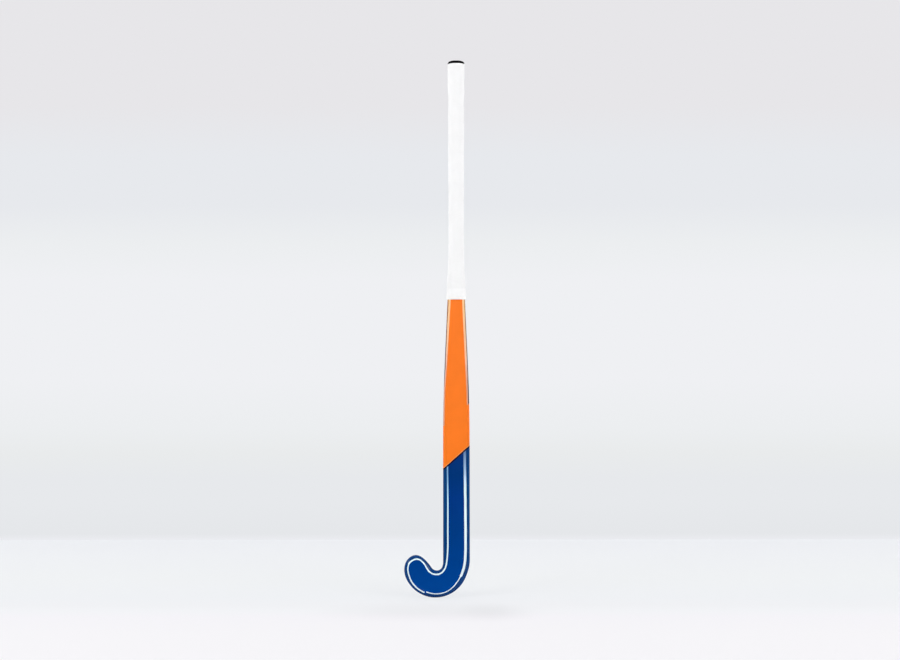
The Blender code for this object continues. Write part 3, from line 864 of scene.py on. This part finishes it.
def add_pieces(nodes):
    """The pieces that stand for CAD nodes, and materials for the nodes that stay."""
    skin = Skin()
    outer_rim = lay_shell(skin)
    wall = [WALL] * sum(COLUMNS)
    inner_rim = lay_shell(skin, SHELL_WALL, INSIDE_SPACING, INSIDE_STEP, wall)
    skin.strip(outer_rim, inner_rim, wall + wall)
    made = skin.into_bmesh()
    paint(made)
    shell = as_object("lacquered_stick", made, shell_materials())
    ribbon = as_object("wound_ribbon", lay_ribbon(), [ribbon_material()])
    tape = as_object("taped_end", lay_finishing_tape(), [tape_material()])
    cap = as_object("domed_cap", lay_cap(), [cap_material()])
    for piece, node, slot in (
        (shell, "stick_shell", "lacquered_shell"),
        (ribbon, "grip_tape", "grip_ribbon"),
        (tape, "finishing_tape", "end_tape"),
        (cap, "butt_cap", "cap_rubber"),
    ):
        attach(piece, "root")
        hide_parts(node)
    laminate = laminate_material("tube_laminate")
    for node, material in (
        ("head_core", foam_material()),
        ("left_inner_tube", laminate),
        ("right_inner_tube", laminate),
        ("handle_plug", plastic_material()),
        ("pommel_band", cloth_material()),
    ):
        for slot in nodes[node].material_slots:
            slot.material = material


# Backdrop: colours along the wall's height and the floor's depth, in metres. Their rise and fall is
# painted light and shade on a plain backdrop.
STAGE_REACH = 9.0
WALL_Y = 0.745
WALL_TOP = 7.0
WALL_COLOURS = (
    (0.0, "#ebecf0"), (0.012, "#e5e7ea"), (0.08, "#e7e9ec"), (0.134, "#e7e9ec"), (0.189, "#e9ebec"),
    (0.243, "#eceef0"), (0.353, "#eff0f3"), (0.571, "#eff0f3"), (0.652, "#eceef0"), (0.734, "#e7e9ed"),
    (0.843, "#e7e9ed"), (0.952, "#e7e6e9"),
)
FLOOR_COLOURS = (
    (-0.35, "#f5f4f7"), (-0.207, "#f4f3f7"), (-0.15, "#f2f3f6"), (-0.10, "#f0f1f4"), (-0.018, "#eff1f4"),
    (0.2, "#f0f2f4"), (0.46, "#f0f2f5"), (0.684, "#eff1f5"),
)
# Painted shadows: soft darker ellipses painted into the floor's colour in front of the hook: (x, y, reach
# across, reach in depth, strength)
FLOOR_PAINTED_SHADOWS = ((-0.008, -0.162, 0.235, 0.112, 0.058), (0.090, -0.162, 0.075, 0.112, 0.057))
PAINTED_SHADOW_COLOUR = "#000000"
# The share of a sheet's look that doesn't come from the lamps. It rises to all of it over GLOW_RISE,
# and the colours fade to the horizon's over FADE, both in distance from the stick.
FLOOR_GLOW = 0.82
WALL_GLOW = 1.0
GLOW_RISE = (0.8, 2.5)
FADE = (1.6, 5.0)
HORIZON = "#edeef1"
UNDYED = (0.8, 0.8, 0.8, 1.0)

# Lamps: (name, azimuth, elevation, distance, size, power)
LAMPS = (
    ("left_softbox", -56, 25, 3.5, (1.9, 1.2), 79),
    ("right_softbox", 56, 25, 3.5, (1.9, 1.2), 76),
    ("top_softbox", 0, 85, 2.4, (2.0, 1.6), 6),
)
LAMP_TARGET = (0.03, 0.0, 0.45)
# The light from all round, by the Y part of its direction: weak from in front, stronger from behind
AMBIENT = (("From Min", -0.55), ("From Max", 0.15), ("To Min", 0.02), ("To Max", 0.42))

SENSOR_WIDTH = 36.0
LENS = 64.16
CAMERA_PLACE = (0.0226, -2.779, 0.4600)
CAMERA_ROLL = math.radians(0.05)


def with_painted_shadows(made, colour, painted_shadows):
    """A colour made darker in soft ellipses on the floor: painted shadows."""
    for x, y, across, deep, strength in painted_shadows:
        centre, scale = (-x / across, -y / deep, 0.0), (1 / across, 1 / deep, 1.0)
        mapped = made.node("Mapping", {"Vector": made.place(), "Location": centre, "Scale": scale})
        inside = made.node("TexGradient", {"Vector": mapped.outputs[0]}, gradient_type="SPHERICAL")
        soft = {"Value": inside.outputs["Fac"], "To Max": strength}
        amount = made.node("MapRange", soft, interpolation_type="SMOOTHSTEP").outputs[0]
        colour = made.mixed(amount, colour, PAINTED_SHADOW_COLOUR)
    return colour


def stage_sheet(name, corners, colours, axis, glow, painted_shadows=()):
    """A plain sheet that looks to the camera like its colours, with a share of real light. From
    behind it is clear, and to the lamps it is grey."""
    mesh = bpy.data.meshes.new(name)
    mesh.from_pydata(corners, [], [(0, 1, 2, 3)])
    sheet = in_scene(name, mesh)
    made = Paint(name)
    tree = made.tree
    tree.nodes.remove(made.shader)
    coordinate = made.node("SeparateXYZ", {0: made.place()}).outputs[axis]
    away = made.node("VectorMath", {0: made.place()}, operation="LENGTH").outputs["Value"]
    faded = made.node("MapRange", {"Value": away, "From Min": FADE[0], "From Max": FADE[1]}).outputs[0]
    colour = with_painted_shadows(made, made.mixed(faded, made.ramp(coordinate, colours), HORIZON), painted_shadows)
    grey = made.node("BsdfDiffuse", {"Color": UNDYED}).outputs[0]
    lit = made.node("BsdfDiffuse", {"Color": colour}).outputs[0]
    near, far = GLOW_RISE
    share = made.node("MapRange", {"Value": away, "From Min": near, "From Max": far, "To Min": glow})
    shown = made.node("Emission", {"Color": colour}).outputs[0]
    seen = made.node("MixShader", {0: share.outputs[0], 1: lit, 2: shown}).outputs[0]
    looked_at = made.node("LightPath").outputs["Is Camera Ray"]
    front = made.node("MixShader", {0: looked_at, 1: grey, 2: seen}).outputs[0]
    clear = made.node("BsdfTransparent").outputs[0]
    behind = made.node("NewGeometry").outputs["Backfacing"]
    whole = made.node("MixShader", {0: behind, 1: front, 2: clear}).outputs[0]
    output = next(node for node in tree.nodes if node.type == "OUTPUT_MATERIAL")
    tree.links.new(whole, output.inputs["Surface"])
    mesh.materials.append(made.material)


def add_stage():
    far = STAGE_REACH
    floor = [(-far, -far, 0), (far, -far, 0), (far, far, 0), (-far, far, 0)]
    stage_sheet("studio_floor", floor, FLOOR_COLOURS, "Y", FLOOR_GLOW, FLOOR_PAINTED_SHADOWS)
    wall = [(-far, WALL_Y, 0), (far, WALL_Y, 0), (far, WALL_Y, WALL_TOP), (-far, WALL_Y, WALL_TOP)]
    stage_sheet("studio_wall", wall, WALL_COLOURS, "Z", WALL_GLOW)


def add_lamp(name, azimuth, elevation, distance, size, power):
    """A softbox that faces the stick. Azimuth 0 is in front, and grows towards +X."""
    light = bpy.data.lights.new(name, "AREA")
    light.shape = "RECTANGLE"
    light.size, light.size_y = size
    light.energy = power
    lamp = in_scene(name, light)
    turn, rise = math.radians(azimuth), math.radians(elevation)
    flat = math.cos(rise)
    away = np.array([math.sin(turn) * flat, -math.cos(turn) * flat, math.sin(rise)])
    lamp.location = np.array(LAMP_TARGET) + distance * away
    lamp.rotation_euler = (math.pi / 2 - rise, 0.0, turn)
    lamp.visible_camera = False


def add_lights():
    for lamp in LAMPS:
        add_lamp(*lamp)
    world = bpy.data.worlds.new("studio_world")
    bpy.context.scene.world = world
    world.use_nodes = True
    tree = world.node_tree
    tree.nodes.clear()
    place = tree.nodes.new("ShaderNodeTexCoord")
    parts = tree.nodes.new("ShaderNodeSeparateXYZ")
    ramp = tree.nodes.new("ShaderNodeMapRange")
    ramp.interpolation_type = "SMOOTHSTEP"
    for socket, value in AMBIENT:
        ramp.inputs[socket].default_value = value
    light = tree.nodes.new("ShaderNodeBackground")
    shown = tree.nodes.new("ShaderNodeBackground")
    shown.inputs["Color"].default_value = (*linear(HORIZON), 1.0)
    path = tree.nodes.new("ShaderNodeLightPath")
    mix = tree.nodes.new("ShaderNodeMixShader")
    output = tree.nodes.new("ShaderNodeOutputWorld")
    for source, target in (
        (place.outputs["Generated"], parts.inputs[0]),
        (parts.outputs["Y"], ramp.inputs["Value"]),
        (ramp.outputs[0], light.inputs["Color"]),
        (path.outputs["Is Camera Ray"], mix.inputs[0]),
        (light.outputs[0], mix.inputs[1]),
        (shown.outputs[0], mix.inputs[2]),
        (mix.outputs[0], output.inputs["Surface"]),
    ):
        tree.links.new(source, target)


def add_camera():
    camera = bpy.data.cameras.new("photo_camera")
    camera.sensor_width = SENSOR_WIDTH
    camera.lens = LENS
    held = in_scene("photo_camera", camera)
    held.location = CAMERA_PLACE
    held.rotation_euler = (math.pi / 2, CAMERA_ROLL, 0.0)
    bpy.context.scene.camera = held


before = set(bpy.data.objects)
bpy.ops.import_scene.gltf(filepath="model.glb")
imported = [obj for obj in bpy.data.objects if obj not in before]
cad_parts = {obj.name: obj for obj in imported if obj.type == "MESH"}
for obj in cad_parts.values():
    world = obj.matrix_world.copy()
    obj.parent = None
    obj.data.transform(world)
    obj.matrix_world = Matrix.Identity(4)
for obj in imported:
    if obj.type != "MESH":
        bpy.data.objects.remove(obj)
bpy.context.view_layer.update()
add_pieces(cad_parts)
add_stage()
add_lights()
add_camera()
bpy.context.scene.view_settings.view_transform = "Standard"
